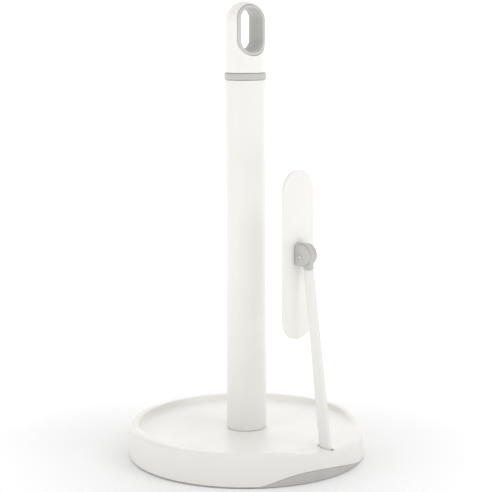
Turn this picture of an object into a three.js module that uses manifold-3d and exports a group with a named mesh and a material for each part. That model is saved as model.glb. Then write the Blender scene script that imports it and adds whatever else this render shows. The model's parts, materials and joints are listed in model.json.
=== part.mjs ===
// Paper towel holder: a weighted dish base, a hollow post with a loop handle,
// and a sprung arm whose hinged paddle presses on the side of the roll.
// Millimetres, +Z up. The origin is on the post's axis, on the surface the holder stands on.
// The arm swings in the XZ plane, on the +X side of the post.

import * as THREE from "three";
import { mergeVertices } from "three/addons/utils/BufferGeometryUtils.js";
import Module from "manifold-3d";

// ---------------------------------------------------------------- driving dimensions

const GAP = 0.3; // clearance kept between pieces that touch
const BASE_SIDES = 60; // facets round the dish

// base
const BASE_RADIUS = 94;
const SHELL_FOOT_Z = 1.2; // lower edge of the shell wall
const FLOOR_Z = 22; // the roll stands here
const SHELL_WALL = 3;
const SEAT_INNER = 20; // the roll's seat is a flat ring from here, just outside the post
const SLOPE_START = 74; // radius where the floor begins to run down to the lowered lip
const SLOPE_END = 82;
const SLOPE_DROP = 1.7;
const EDGE_START = 88; // radius where the lowered lip begins to roll over the outer edge
const EDGE_RUN = 5.4;
const EDGE_DROP = 2.2;
const LIP_CENTRE = THREE.MathUtils.degToRad(20); // direction of the lowered lip, from the arm
const LIP_HALF_SPAN = THREE.MathUtils.degToRad(55);
const LIP_BLEND = THREE.MathUtils.degToRad(30);
const ARCH_PEAK = THREE.MathUtils.degToRad(-16); // direction of the highest point of the arch under the shell
const ARCH_SHORT_SPAN = THREE.MathUtils.degToRad(25); // from the peak to the end before it
const ARCH_LONG_SPAN = THREE.MathUtils.degToRad(40); // and to the end beyond the arm
const ARCH_RISE = 8.05;
const TRAY_BOTTOM_Z = 0.5;
const TRAY_FLOOR_Z = 3;
const TRAY_RIM_Z = 3.6;
const SKIRT_OUTER = 93.6;
const SKIRT_INNER = 90.9;
const FOOT_INNER = 82;
const FOOT_OUTER = 89;
const FOOT_HEIGHT = 1.7;
const SCREW_CIRCLE = 76;
const SCREW_COUNT = 4;
const SCREW = { shank: 1.3, head: 3.2, seatZ: 1.5, boss: 4.2 };
const RIVET = { shank: 1.4, head: 2.8, x: 74.5, y: 8 };
const BALLAST_RADIUS = 66;
const BALLAST_BOTTOM_Z = 10;
const BALLAST_TOP_Z = 18.7;

// post and handle
const POST_RADIUS = 15.85;
const POST_BORE = 13.35;
const COLLAR_Z = 300;
const COLLAR_HEIGHT = 5;
const COLLAR_RADIUS = 16.35;
const ROD_RADIUS = 3;
const ROD_BOTTOM_Z = 4;
const ROD_TOP_Z = 314.5;
const NUT = { radius: 5.8, bottomZ: 4, topZ: 9 };
const PLUG_TOP_Z = 36; // of the post's lower plug
const PLUG_BOTTOM_Z = 286; // of the post's upper plug
const HANDLE_TOP_Z = 359.9;
const LOOP_HALF_WIDTH = 11.9;
const LOOP_BOTTOM_Z = 318.2;
const LOOP_TOP_Z = 357.6;
const LOOP_TURN = THREE.MathUtils.degToRad(-21); // direction in which the loop's hole runs
const LINER_OUTER = 11.65;
const LINER_INNER = 9.25;
const LINER_PROUD = 0.35;

// arm and its hinge, in the base
const HINGE = { x: 84, z: 10 };
const ARM_LEAN = THREE.MathUtils.degToRad(7.23);
const ARM_LENGTH = 148.3; // from the hinge axis to the arm's top end
const ARM_FOOT_DEPTH = 9.2;
const ARM_TOP_DEPTH = 7.6;
const ARM_THICKNESS = 3.3;
const BARREL_RADIUS = 4.2;
const BARREL_HALF = 4.4;
const BUSH_RADIUS = 2.75;
const PIN_RADIUS = 2;
const PIN_PLAY = 0.12; // round both hinge pins
const TANG = { halfDepth: 2, halfThickness: 0.6, length: 10.5 }; // of the tongue, inside the arm
const EAR_INNER_Y = 10.5;
const EAR_THICKNESS = 2.2;
const BRACKET = { x0: 70, x1: 87.4, z0: 3.9, z1: 5.3, earRadius: 4.2 };
const SLOT = { x0: 75.8, x1: 90.4, halfWidth: 2.3 };

// knuckle and paddle
const KNUCKLE = { x: 60.5, z: 167.4 }; // knuckle pin axis
const EAR_CENTRE = { x: 60.8, z: 168.3 }; // centre of the rounded end of the knuckle's ears
const EAR_RADIUS = 8.3;
const HUB_HALF_WIDTH = 5.4;
const HUB_SLOT = { floorX: 56.9, halfWidth: 2.7 };
const HUB_CORNER = 1.8;
const EYE_RADIUS = 8.5; // of the tongue, level with the ears
const PIN_EYE_RADIUS = 3.2; // of the tongue, round the knuckle pin
const TONGUE_THICKNESS = 4.8;
const TONGUE_DEPTH = { inner: 3.4, outer: 3.3 }; // either side of the arm's line
const KNUCKLE_PIN_RADIUS = 1.5;
const KNUCKLE_PIN_HEAD = 1.9;
const STUD = { radius: 1.5, hole: 1.8, spacing: 10 }; // melted over to hold the hub to the paddle
const PADDLE = { x0: 52.3, x1: 55.3, halfWidth: 17, bottomZ: 101.9, topZ: 233.2 };

// ---------------------------------------------------------------- finishes

const finish = (colour, roughness, metalness = 0) =>
  new THREE.MeshStandardMaterial({ color: colour, roughness, metalness });
const whitePlastic = () => finish(0xf3f2ee, 0.38);
const greyPlastic = () => finish(0xb9b8b4, 0.5);
const softGrey = () => finish(0xb4b3b0, 0.6);
const steel = () => finish(0xa9abad, 0.32, 1);
const brass = () => finish(0xc4a15a, 0.35, 1);
const castIron = () => finish(0x4c4c4e, 0.7, 0.6);
const rubber = () => finish(0x8d8d8a, 0.85);

// ---------------------------------------------------------------- solids

const wasm = await Module();
wasm.setup();

function toSolid(geometry) {
  const bare = geometry.clone();
  bare.deleteAttribute("normal");
  bare.deleteAttribute("uv");
  const merged = mergeVertices(bare, 1e-4);
  const corners = merged.index.array;
  const kept = [];
  for (let i = 0; i < corners.length; i += 3) {
    const [a, b, c] = corners.slice(i, i + 3);
    if (a !== b && b !== c && c !== a) kept.push(a, b, c);
  }
  const vertProperties = merged.attributes.position.array;
  return new wasm.Manifold(new wasm.Mesh({ numProp: 3, vertProperties, triVerts: new Uint32Array(kept) }));
}

function toGeometry(solid) {
  const mesh = solid.getMesh();
  const geometry = new THREE.BufferGeometry();
  geometry.setAttribute("position", new THREE.BufferAttribute(mesh.vertProperties, 3));
  geometry.setIndex(new THREE.BufferAttribute(mesh.triVerts, 1));
  geometry.computeVertexNormals();
  return geometry;
}

const join = (first, ...others) =>
  toGeometry(others.reduce((solid, other) => solid.add(toSolid(other)), toSolid(first)));
const cut = (body, ...tools) =>
  toGeometry(tools.reduce((solid, tool) => solid.subtract(toSolid(tool)), toSolid(body)));
const common = (first, second) => toGeometry(toSolid(first).intersect(toSolid(second)));

// A [radius, height] section turned about Z. It runs anticlockwise, seen with Z up.
function turned(section, sides = 36) {
  const points = section.map(([radius, height]) => new THREE.Vector2(radius, height));
  return new THREE.LatheGeometry(points, sides).rotateX(Math.PI / 2);
}

// A turned ring or tube with a square section.
const ring = (inner, outer, z0, z1, sides) =>
  turned([[inner, z0], [outer, z0], [outer, z1], [inner, z1], [inner, z0]], sides);

function block(x0, x1, y0, y1, z0, z1) {
  const box = new THREE.BoxGeometry(x1 - x0, y1 - y0, z1 - z0);
  return box.translate((x0 + x1) / 2, (y0 + y1) / 2, (z0 + z1) / 2);
}

function rodAlongZ(radius, x, y, z0, z1, sides = 16) {
  const rod = new THREE.CylinderGeometry(radius, radius, z1 - z0, sides).rotateX(Math.PI / 2);
  return rod.translate(x, y, (z0 + z1) / 2);
}

function rodAlongY(radius, x, z, y0, y1, sides = 20) {
  const rod = new THREE.CylinderGeometry(radius, radius, y1 - y0, sides);
  return rod.translate(x, (y0 + y1) / 2, z);
}

function rodAlongX(radius, y, z, x0, x1, sides = 10) {
  const rod = new THREE.CylinderGeometry(radius, radius, x1 - x0, sides).rotateZ(Math.PI / 2);
  return rod.translate((x0 + x1) / 2, y, z);
}

// An outline drawn in X and Z, given thickness from y0 to y1.
function plateAlongY(outline, y0, y1, curveSegments = 8) {
  const plate = new THREE.ExtrudeGeometry(outline, { depth: y1 - y0, bevelEnabled: false, curveSegments });
  return plate.rotateX(Math.PI / 2).translate(0, y1, 0);
}

// An upright stadium: two half circles joined by straight sides.
function stadium(centre, halfWidth, bottom, top) {
  const outline = new THREE.Shape();
  outline.absarc(centre, top - halfWidth, halfWidth, 0, Math.PI);
  outline.absarc(centre, bottom + halfWidth, halfWidth, Math.PI, 2 * Math.PI);
  outline.closePath();
  return outline;
}

const group = new THREE.Group();

function place(parent, name, geometry, material) {
  const mesh = new THREE.Mesh(geometry, material);
  mesh.name = name;
  parent.add(mesh);
}

// ---------------------------------------------------------------- base

// 0 on the plain side of the dish, 1 where the lip is fully lowered.
function lipShare(angle) {
  const away = Math.abs(angle - LIP_CENTRE);
  return THREE.MathUtils.smoothstep(LIP_HALF_SPAN - away, 0, LIP_BLEND);
}

// How far the arch lifts the shell's lower edge.
function archLift(angle) {
  const span = angle < ARCH_PEAK ? ARCH_SHORT_SPAN : ARCH_LONG_SPAN;
  const share = Math.min(1, Math.abs(angle - ARCH_PEAK) / span);
  return ARCH_RISE * (1 - share ** 2) ** 1.25;
}

// Top surface where the lip is lowered: the floor runs down and rolls over the outer edge.
function loweredTop(radius) {
  const slope = THREE.MathUtils.smoothstep(radius, SLOPE_START, SLOPE_END);
  const roll = Math.max(0, (radius - EDGE_START) / EDGE_RUN) ** 2;
  return FLOOR_Z - SLOPE_DROP * slope - EDGE_DROP * roll;
}

// Moves each vertex of a turned shape to heightAt(section point number, its height, angle round Z).
function shapeHeights(geometry, pointCount, heightAt) {
  const position = geometry.attributes.position;
  for (let i = 0; i < position.count; i += 1) {
    const angle = Math.atan2(position.getY(i), position.getX(i));
    position.setZ(i, heightAt(i % pointCount, position.getZ(i), angle));
  }
  return geometry;
}

// The shell's section in three runs: its underside, the foot of its wall and its top.
const under = [[0, 19], [74, 19], [82.2, 19], [84.8, 20.6], [87, 23.2], [90, 23.2], [91.2, 21.6]];
const wallFoot = [[91.2, SHELL_FOOT_Z], [BASE_RADIUS, SHELL_FOOT_Z]];
const top = [
  [93.4, 22.8], [92.6, 25.4], [90.6, 26.6], [87.8, 26.5], [86.5, 25.6], [84.9, 22.5], [83.2, 22],
  [SLOPE_START, 22], [SEAT_INNER, 22], [0, 22],
];

function shellBody() {
  const section = [...under, ...wallFoot, ...top];
  const blank = turned(section, BASE_SIDES);
  return shapeHeights(blank, section.length, (point, height, angle) => {
    const isFoot = point >= under.length && point < under.length + wallFoot.length;
    if (isFoot) return height + archLift(angle);
    const thickness = point < under.length ? SHELL_WALL : 0;
    const lowered = loweredTop(section[point][0]) - thickness;
    return THREE.MathUtils.lerp(height, lowered, lipShare(angle));
  });
}

const screwPlaces = Array.from({ length: SCREW_COUNT }, (_, i) => {
  const angle = ((i + 0.5) * 2 * Math.PI) / SCREW_COUNT;
  return [SCREW_CIRCLE * Math.cos(angle), SCREW_CIRCLE * Math.sin(angle)];
});

function baseShell() {
  const bosses = screwPlaces.map(([x, y]) => rodAlongZ(SCREW.boss, x, y, 3.9, 19.4));
  const screwHoles = screwPlaces.map(([x, y]) => rodAlongZ(SCREW.shank + 0.2, x, y, 3, 16));
  const rodHole = rodAlongZ(ROD_RADIUS + 0.4, 0, 0, 15, 25);
  const armSlot = block(SLOT.x0, SLOT.x1, -SLOT.halfWidth, SLOT.halfWidth, 11, 25);
  return cut(join(shellBody(), ...bosses), ...screwHoles, rodHole, armSlot);
}

const rivetPlaces = [[RIVET.x, -RIVET.y], [RIVET.x, RIVET.y]];

function baseTray() {
  const section = [
    [0, TRAY_BOTTOM_Z], [FOOT_INNER - GAP, TRAY_BOTTOM_Z], [FOOT_INNER - GAP, 2], [FOOT_OUTER + GAP, 2],
    [FOOT_OUTER + GAP, TRAY_BOTTOM_Z], [SKIRT_OUTER, TRAY_BOTTOM_Z], [SKIRT_OUTER, 1], [SKIRT_INNER, 1],
    [SKIRT_INNER, TRAY_RIM_Z], [80, TRAY_RIM_Z], [79.4, TRAY_FLOOR_Z], [0, TRAY_FLOOR_Z],
  ];
  const skirtTop = [6, 7];
  const blank = shapeHeights(turned(section, BASE_SIDES), section.length, (point, height, angle) =>
    skirtTop.includes(point) ? SHELL_FOOT_Z - GAP + archLift(angle) : height);
  const screwHoles = screwPlaces.map(([x, y]) => rodAlongZ(SCREW.shank + 0.4, x, y, 0, 5));
  const headRecesses = screwPlaces.map(([x, y]) => rodAlongZ(SCREW.head + 0.4, x, y, 0, SCREW.seatZ + GAP));
  const rivetHoles = rivetPlaces.map(([x, y]) => rodAlongZ(RIVET.shank + GAP, x, y, 0, 5));
  const rivetRecesses = rivetPlaces.map(([x, y]) => rodAlongZ(RIVET.head + 0.4, x, y, 0, 1.6));
  return cut(blank, ...screwHoles, ...headRecesses, ...rivetHoles, ...rivetRecesses);
}

// A small screw with its pan head down, seen from below the tray.
function coverScrew() {
  const { shank, head, seatZ } = SCREW;
  const section = [
    [0, 0.6], [head - 0.6, 0.6], [head, 0.9], [head, seatZ], [shank, seatZ], [shank, 13], [0, 14.6],
  ];
  return turned(section, 12);
}

// ---------------------------------------------------------------- post, collar and handle

function hexNut() {
  const hexagon = rodAlongZ(NUT.radius, 0, 0, NUT.bottomZ, NUT.topZ, 6);
  return cut(hexagon, rodAlongZ(ROD_RADIUS + 0.2, 0, 0, NUT.bottomZ - 1, NUT.topZ + 1));
}

function handleOutside(extra, bottom) {
  const radius = POST_RADIUS + extra;
  const domeZ = HANDLE_TOP_Z - POST_RADIUS;
  const steps = 6;
  const dome = Array.from({ length: steps + 1 }, (_, i) => {
    const angle = (i / steps) * (Math.PI / 2);
    return [radius * Math.cos(angle), domeZ + radius * Math.sin(angle)];
  });
  dome[steps][0] = 0;
  return turned([[0, bottom], [radius, bottom], ...dome]);
}

// A stadium prism that runs through the handle along the loop's hole.
function loopPrism(halfWidth, reach) {
  const inset = LOOP_HALF_WIDTH - halfWidth;
  const outline = stadium(0, halfWidth, LOOP_BOTTOM_Z + inset, LOOP_TOP_Z - inset);
  return plateAlongY(outline, -reach, reach).rotateZ(Math.PI / 2 + LOOP_TURN);
}

function handleLoop() {
  const bottom = COLLAR_Z + COLLAR_HEIGHT + GAP;
  const insertHole = rodAlongZ(5.2, 0, 0, bottom - 1, 316.3);
  return cut(handleOutside(0, bottom), loopPrism(LOOP_HALF_WIDTH, 20), insertHole);
}

function handleLiner() {
  const sleeve = cut(loopPrism(LINER_OUTER, 20), loopPrism(LINER_INNER, 21));
  return common(sleeve, handleOutside(LINER_PROUD, LOOP_BOTTOM_Z - 5));
}

// ---------------------------------------------------------------- arm

// The arm is drawn upright about the hinge, in the XZ plane, and leaned by its group.
function armBlade() {
  const foot = ARM_FOOT_DEPTH / 2;
  const head = ARM_TOP_DEPTH / 2;
  const outline = new THREE.Shape();
  outline.moveTo(-BARREL_RADIUS, 0);
  outline.lineTo(BARREL_RADIUS, 0);
  outline.lineTo(foot, 10);
  outline.lineTo(head, ARM_LENGTH);
  outline.lineTo(-head, ARM_LENGTH);
  outline.lineTo(-foot, 10);
  outline.closePath();
  const blade = plateAlongY(outline, -ARM_THICKNESS / 2, ARM_THICKNESS / 2);
  const barrel = rodAlongY(BARREL_RADIUS, 0, 0, -BARREL_HALF, BARREL_HALF);
  const bushBore = rodAlongY(BUSH_RADIUS + GAP, 0, 0, -9, 9);
  const pocketDepth = TANG.halfDepth + GAP;
  const pocketHalf = TANG.halfThickness + GAP;
  const tangPocket = block(
    -pocketDepth, pocketDepth, -pocketHalf, pocketHalf, ARM_LENGTH - TANG.length - 0.5, ARM_LENGTH + 1);
  return cut(join(blade, barrel), bushBore, tangPocket);
}

// Turns a point of the standing object into the arm's own frame.
function inArmFrame(point) {
  const dx = point.x - HINGE.x;
  const dz = point.z - HINGE.z;
  return {
    x: dx * Math.cos(ARM_LEAN) + dz * Math.sin(ARM_LEAN),
    z: dz * Math.cos(ARM_LEAN) - dx * Math.sin(ARM_LEAN),
  };
}

function knuckleTongue() {
  const eye = inArmFrame(EAR_CENTRE);
  const pin = inArmFrame(KNUCKLE);
  const half = TONGUE_THICKNESS / 2;
  const bottom = ARM_LENGTH + GAP;
  const outerEye = common(
    rodAlongY(EYE_RADIUS, eye.x, eye.z, -half, half, 28),
    block(eye.x + 0.3, eye.x + 10, -half, half, eye.z - 10, eye.z + 10),
  );
  const innerEye = rodAlongY(PIN_EYE_RADIUS, pin.x, pin.z, -half, half);
  const bar = block(-TONGUE_DEPTH.inner, TONGUE_DEPTH.outer, -half, half, bottom, eye.z - 2);
  const { halfDepth, halfThickness, length } = TANG;
  const tang = block(-halfDepth, halfDepth, -halfThickness, halfThickness, ARM_LENGTH - length, bottom + 1);
  const pinHole = rodAlongY(KNUCKLE_PIN_RADIUS + PIN_PLAY, pin.x, pin.z, -9, 9);
  return cut(join(outerEye, innerEye, bar, tang), pinHole);
}

const bushAlongY = (inner, outer, y0, y1) => ring(inner, outer, y0, y1, 16).rotateX(-Math.PI / 2);

// A pin along Y with a flat head at its low end.
function headedPin(radius, headRadius, headThickness, y0, y1) {
  const section = [
    [0, y0 - headThickness], [headRadius, y0 - headThickness], [headRadius, y0], [radius, y0],
    [radius, y1], [0, y1],
  ];
  return turned(section, 16).rotateX(-Math.PI / 2);
}

function hingeBracket() {
  const earOuter = EAR_INNER_Y + EAR_THICKNESS;
  const { x0, x1, z0, z1, earRadius } = BRACKET;
  const plate = block(x0, x1, -earOuter, earOuter, z0, z1);
  const ears = [-1, 1].map((side) => {
    const outline = new THREE.Shape();
    outline.moveTo(HINGE.x - earRadius, 4.5);
    outline.lineTo(x1, 4.5);
    outline.lineTo(HINGE.x + earRadius, HINGE.z);
    outline.absarc(HINGE.x, HINGE.z, earRadius, 0, Math.PI);
    outline.closePath();
    const inner = side * EAR_INNER_Y;
    const outer = side * earOuter;
    return plateAlongY(outline, Math.min(inner, outer), Math.max(inner, outer));
  });
  const pinHole = rodAlongY(PIN_RADIUS + PIN_PLAY, HINGE.x, HINGE.z, -20, 20);
  const rivetHoles = rivetPlaces.map(([x, y]) => rodAlongZ(RIVET.shank + GAP, x, y, 3, 7));
  return cut(join(plate, ...ears), pinHole, ...rivetHoles);
}

function bracketRivet() {
  const { shank, head } = RIVET;
  const section = [
    [0, 0.7], [head, 0.7], [head, 1.3], [shank, 1.3], [shank, 5.6], [head, 5.6], [head - 0.8, 6.8], [0, 7.1],
  ];
  return turned(section, 12);
}

// Closely wound coil round the hinge pin, one leg along the bracket and one up beside the arm.
class SpringPath extends THREE.Curve {
  getPoint(t) {
    const turns = 3.25;
    const radius = 3.55;
    const legShare = 0.12; // of the path, for each leg
    const legLength = 6;
    const y0 = 5.3;
    const y1 = 9.7;
    if (t < legShare) {
      return new THREE.Vector3(radius, y0, 5.5 * (1 - t / legShare));
    }
    if (t > 1 - legShare) {
      return new THREE.Vector3((-legLength * (t - 1 + legShare)) / legShare, y1, -radius);
    }
    const share = (t - legShare) / (1 - 2 * legShare);
    const angle = -turns * 2 * Math.PI * share;
    return new THREE.Vector3(
      radius * Math.cos(angle), THREE.MathUtils.lerp(y0, y1, share), radius * Math.sin(angle));
  }
}

function torsionSpring() {
  const wire = new THREE.Shape();
  wire.absarc(0, 0, 0.5, 0, 2 * Math.PI);
  return new THREE.ExtrudeGeometry(wire, { steps: 64, curveSegments: 3, extrudePath: new SpringPath() });
}

// ---------------------------------------------------------------- paddle

const studHeights = [-0.5, 0.5].map((side) => EAR_CENTRE.z + side * STUD.spacing);

function paddleHub() {
  const bottom = EAR_CENTRE.z - EAR_RADIUS;
  const topZ = EAR_CENTRE.z + EAR_RADIUS;
  const back = PADDLE.x1 + GAP;
  const corner = HUB_CORNER;
  const outline = new THREE.Shape();
  outline.moveTo(back + corner, bottom);
  outline.absarc(EAR_CENTRE.x, EAR_CENTRE.z, EAR_RADIUS, -Math.PI / 2, Math.PI / 2);
  outline.absarc(back + corner, topZ - corner, corner, Math.PI / 2, Math.PI);
  outline.absarc(back + corner, bottom + corner, corner, Math.PI, 1.5 * Math.PI);
  const body = plateAlongY(outline, -HUB_HALF_WIDTH, HUB_HALF_WIDTH);
  const tongueSlot = block(HUB_SLOT.floorX, 80, -HUB_SLOT.halfWidth, HUB_SLOT.halfWidth, 150, 190);
  const pinHole = rodAlongY(KNUCKLE_PIN_RADIUS + PIN_PLAY, KNUCKLE.x, KNUCKLE.z, -9, 9);
  const studs = studHeights.map((z) => rodAlongX(STUD.radius, 0, z, PADDLE.x0 + 0.4, back + 0.5));
  return join(cut(body, tongueSlot, pinHole), ...studs);
}

function paddlePlate() {
  const outline = stadium(0, PADDLE.halfWidth, PADDLE.bottomZ, PADDLE.topZ);
  const thickness = PADDLE.x1 - PADDLE.x0;
  const plate = plateAlongY(outline, -thickness / 2, thickness / 2, 12)
    .rotateZ(Math.PI / 2)
    .translate((PADDLE.x0 + PADDLE.x1) / 2, 0, 0);
  const studHoles = studHeights.map((z) => rodAlongX(STUD.hole, 0, z, PADDLE.x0 - 1, PADDLE.x1 + 1));
  return cut(plate, ...studHoles);
}

// A pin along Y with a domed head on both ends, closed over the knuckle's ears.
function knucklePin() {
  const faceY = HUB_HALF_WIDTH + GAP / 2;
  const head = KNUCKLE_PIN_HEAD;
  const section = [
    [0, -faceY - 0.7], [head - 0.6, -faceY - 0.5], [head, -faceY], [KNUCKLE_PIN_RADIUS, -faceY],
    [KNUCKLE_PIN_RADIUS, faceY], [head, faceY], [head - 0.6, faceY + 0.5], [0, faceY + 0.7],
  ];
  return turned(section, 14).rotateX(-Math.PI / 2).translate(KNUCKLE.x, 0, KNUCKLE.z);
}

// ---------------------------------------------------------------- assembly

const collarTop = COLLAR_Z + COLLAR_HEIGHT;
const postTop = COLLAR_Z - GAP;

place(group, "base_shell", baseShell(), whitePlastic());
place(group, "base_tray", baseTray(), greyPlastic());
place(group, "foot_ring", ring(FOOT_INNER, FOOT_OUTER, 0, FOOT_HEIGHT, 40), rubber());
const ballast = ring(ROD_RADIUS + 0.4, BALLAST_RADIUS, BALLAST_BOTTOM_Z, BALLAST_TOP_Z);
place(group, "ballast_plate", ballast, castIron());
screwPlaces.forEach(([x, y], i) => {
  place(group, `cover_screw_${i + 1}`, coverScrew().translate(x, y, 0), steel());
});

const plug = (bottomZ, topZ) => ring(ROD_RADIUS + GAP, POST_BORE - GAP, bottomZ, topZ, 24);
place(group, "post_tube", ring(POST_BORE, POST_RADIUS, FLOOR_Z + GAP, postTop), whitePlastic());
place(group, "post_bottom_plug", plug(FLOOR_Z + GAP, PLUG_TOP_Z), greyPlastic());
place(group, "post_top_plug", plug(PLUG_BOTTOM_Z, postTop), greyPlastic());
place(group, "tie_rod", rodAlongZ(ROD_RADIUS, 0, 0, ROD_BOTTOM_Z, ROD_TOP_Z), steel());
place(group, "tie_rod_nut", hexNut(), steel());
place(group, "tie_rod_washer", ring(ROD_RADIUS + GAP, 9, 9.2, 9.8, 20), steel());
place(group, "collar_ring", ring(ROD_RADIUS + GAP, COLLAR_RADIUS, COLLAR_Z, collarTop), greyPlastic());
place(group, "handle_loop", handleLoop(), whitePlastic());
place(group, "handle_liner", handleLiner(), softGrey());
place(group, "handle_insert", ring(ROD_RADIUS + 0.2, 4.9, collarTop + 0.4, 315.8, 16), brass());

place(group, "hinge_bracket", hingeBracket(), steel());
rivetPlaces.forEach(([x, y], i) => {
  place(group, `bracket_rivet_${i + 1}`, bracketRivet().translate(x, y, 0), steel());
});
const hinge = new THREE.Group();
hinge.position.set(HINGE.x, 0, HINGE.z);
group.add(hinge);
const pinEnd = EAR_INNER_Y + EAR_THICKNESS + GAP;
const spacer = bushAlongY(PIN_RADIUS + 0.2, 3.2, GAP - EAR_INNER_Y, -BARREL_HALF - GAP);
place(hinge, "hinge_pin", headedPin(PIN_RADIUS, 3.2, 0.8, -pinEnd, pinEnd + 1.6), steel());
place(hinge, "hinge_pin_clip", bushAlongY(PIN_RADIUS + PIN_PLAY, 3.4, pinEnd, pinEnd + 0.9), steel());
place(hinge, "hinge_spacer", spacer, greyPlastic());
place(hinge, "torsion_spring", torsionSpring(), steel());

const arm = new THREE.Group();
arm.rotation.y = -ARM_LEAN;
hinge.add(arm);
place(arm, "hinge_bush", bushAlongY(PIN_RADIUS + PIN_PLAY, BUSH_RADIUS, -BARREL_HALF, BARREL_HALF), brass());
place(arm, "arm_blade", armBlade(), whitePlastic());
place(arm, "knuckle_tongue", knuckleTongue(), greyPlastic());

place(group, "paddle_plate", paddlePlate(), whitePlastic());
place(group, "paddle_hub", paddleHub(), greyPlastic());
place(group, "knuckle_pin", knucklePin(), steel());

export default group;
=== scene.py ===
# %% [markdown]
# # A paper towel holder with a sprung side arm
#
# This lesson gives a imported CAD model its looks. The holder is a weighted dish, a round post with a
# loop handle, and an arm whose hinged paddle leans on the roll. The CAD model fixes every size and
# every joint. Here the visible mouldings are built again with rounded edges and fine surfaces, and
# each one rides on the CAD body that it belongs to.

# %% Load the frame
import json
import math

import bmesh
import bpy
from mathutils import Matrix, Vector


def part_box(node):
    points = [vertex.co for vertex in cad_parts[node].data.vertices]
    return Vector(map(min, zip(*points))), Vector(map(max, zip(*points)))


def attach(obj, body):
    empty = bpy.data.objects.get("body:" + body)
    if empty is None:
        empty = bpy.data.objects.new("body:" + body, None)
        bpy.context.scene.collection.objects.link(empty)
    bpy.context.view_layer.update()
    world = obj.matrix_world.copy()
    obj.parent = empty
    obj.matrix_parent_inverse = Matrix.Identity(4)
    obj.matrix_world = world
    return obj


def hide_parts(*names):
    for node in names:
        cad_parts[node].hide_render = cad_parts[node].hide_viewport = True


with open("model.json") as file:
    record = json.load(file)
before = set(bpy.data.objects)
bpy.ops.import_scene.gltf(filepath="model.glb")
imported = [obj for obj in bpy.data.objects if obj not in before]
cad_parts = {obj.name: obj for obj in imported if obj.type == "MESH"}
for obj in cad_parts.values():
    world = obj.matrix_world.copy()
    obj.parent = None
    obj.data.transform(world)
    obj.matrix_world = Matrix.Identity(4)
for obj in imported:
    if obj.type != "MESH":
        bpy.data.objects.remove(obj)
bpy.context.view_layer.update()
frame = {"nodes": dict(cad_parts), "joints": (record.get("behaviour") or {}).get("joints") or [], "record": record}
record = frame["record"]

# %% [markdown]
# ## Sizes
#
# Lengths are kept in metres, and one constant turns millimetres into them. Places come from the
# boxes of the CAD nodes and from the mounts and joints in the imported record, so a piece lands where
# the CAD has it. Only the rules of the dish's shape (where its lip dips and its wall arches) are
# repeated as named values, because a box can't tell them.

# %% Read the driving sizes
MM = 0.001


def mount(name):
    """A mount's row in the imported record."""
    return next(m for m in record["mounts"] if m["name"] == name)


def joint(name):
    """A joint's row in the frame."""
    return next(j for j in frame["joints"] if j["name"] == name)


shell_low, shell_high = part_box("base_shell")
tray_low, tray_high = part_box("base_tray")
post_low, post_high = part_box("post_tube")
collar_low, collar_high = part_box("collar_ring")
handle_low, handle_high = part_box("handle_loop")
hub_low, hub_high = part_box("paddle_hub")
paddle_low, paddle_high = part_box("paddle_plate")
foot_low, foot_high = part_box("foot_ring")
tongue_low, tongue_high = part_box("knuckle_tongue")

base_radius = shell_high.x
floor_z = mount("roll_seat")["pos_m"][2]
post_radius = post_high.x
hinge = Vector(joint("arm_swing")["pos_m"])
knuckle = Vector(joint("paddle_tilt")["pos_m"])
print(f"base {2000 * base_radius:.0f} mm across, {1000 * handle_high.z:.0f} mm tall")

# %% [markdown]
# ## Colours and nodes
#
# Colours are written as the sRGB hex values that a designer would quote, and one function turns
# them linear, as the shader wants them. One more function adds any shader or geometry node with its
# settings and its links, so a material reads as a short list of nodes. Two steps come back in every
# finish, so they have a function each: a bump of a known depth, and a roughness that wanders a
# little, because no real surface is equally worn all over.

# %% Small helpers for node trees
def linear(hex_colour):
    """An sRGB hex colour as linear red, green, blue and alpha."""
    channels = [int(hex_colour[i : i + 2], 16) / 255 for i in (0, 2, 4)]
    curve = [c / 12.92 if c <= 0.04045 else ((c + 0.055) / 1.055) ** 2.4 for c in channels]
    return (*curve, 1.0)


def add(tree, kind, settings=None, values=None, links=None):
    """Adds a node: settings are its attributes, values its unlinked inputs, links its linked ones."""
    made = tree.nodes.new(kind)
    for name, value in (settings or {}).items():
        setattr(made, name, value)
    for name, value in (values or {}).items():
        made.inputs[name].default_value = value
    for name, source in (links or {}).items():
        tree.links.new(source, made.inputs[name])
    return made


def start_material(name):
    """A new material. Returns it with its node tree and its shader."""
    material = bpy.data.materials.new(name)
    material.use_nodes = True
    tree = material.node_tree
    return material, tree, tree.nodes["Principled BSDF"]


def bump(tree, noise, depth, strength, under=None):
    """Raises a noise texture to a depth in metres, on top of another bump if there is one."""
    links = {"Height": noise.outputs["Fac"]}
    if under:
        links["Normal"] = under.outputs["Normal"]
    return add(tree, "ShaderNodeBump", values={"Strength": strength, "Distance": depth}, links=links)


# The values of a noise texture lie mostly between these two.
NOISE_LOW = 0.3
NOISE_HIGH = 0.7


def wander(tree, noise, middle, spread):
    """Maps a noise texture to the numbers within a spread of a middle one."""
    made = add(
        tree,
        "ShaderNodeMapRange",
        values={
            "From Min": NOISE_LOW,
            "From Max": NOISE_HIGH,
            "To Min": middle - spread,
            "To Max": middle + spread,
        },
        links={"Value": noise.outputs["Fac"]},
    )
    return made.outputs["Result"]


# %% [markdown]
# ## Moulded plastic
#
# Almost all of the holder is injection moulded. A moulded face is never a mirror: the steel mould
# was polished or spark-eroded, which leaves a fine grain, and the wall sinks a little as it cools,
# which bends the highlights over some 20 mm. Both are bumps of a known size, so noise textures on
# object coordinates draw them. The colour and the roughness wander with the slower one.

# %% The recipe for a moulded surface
# The Mix node repeats its socket names for each kind of value, so its colour sockets go by number.
MIX_A = 6
MIX_B = 7
MIX_RESULT = 2
SINK_LENGTH = 20 * MM
SINK_DEPTH = 0.08 * MM


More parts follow.
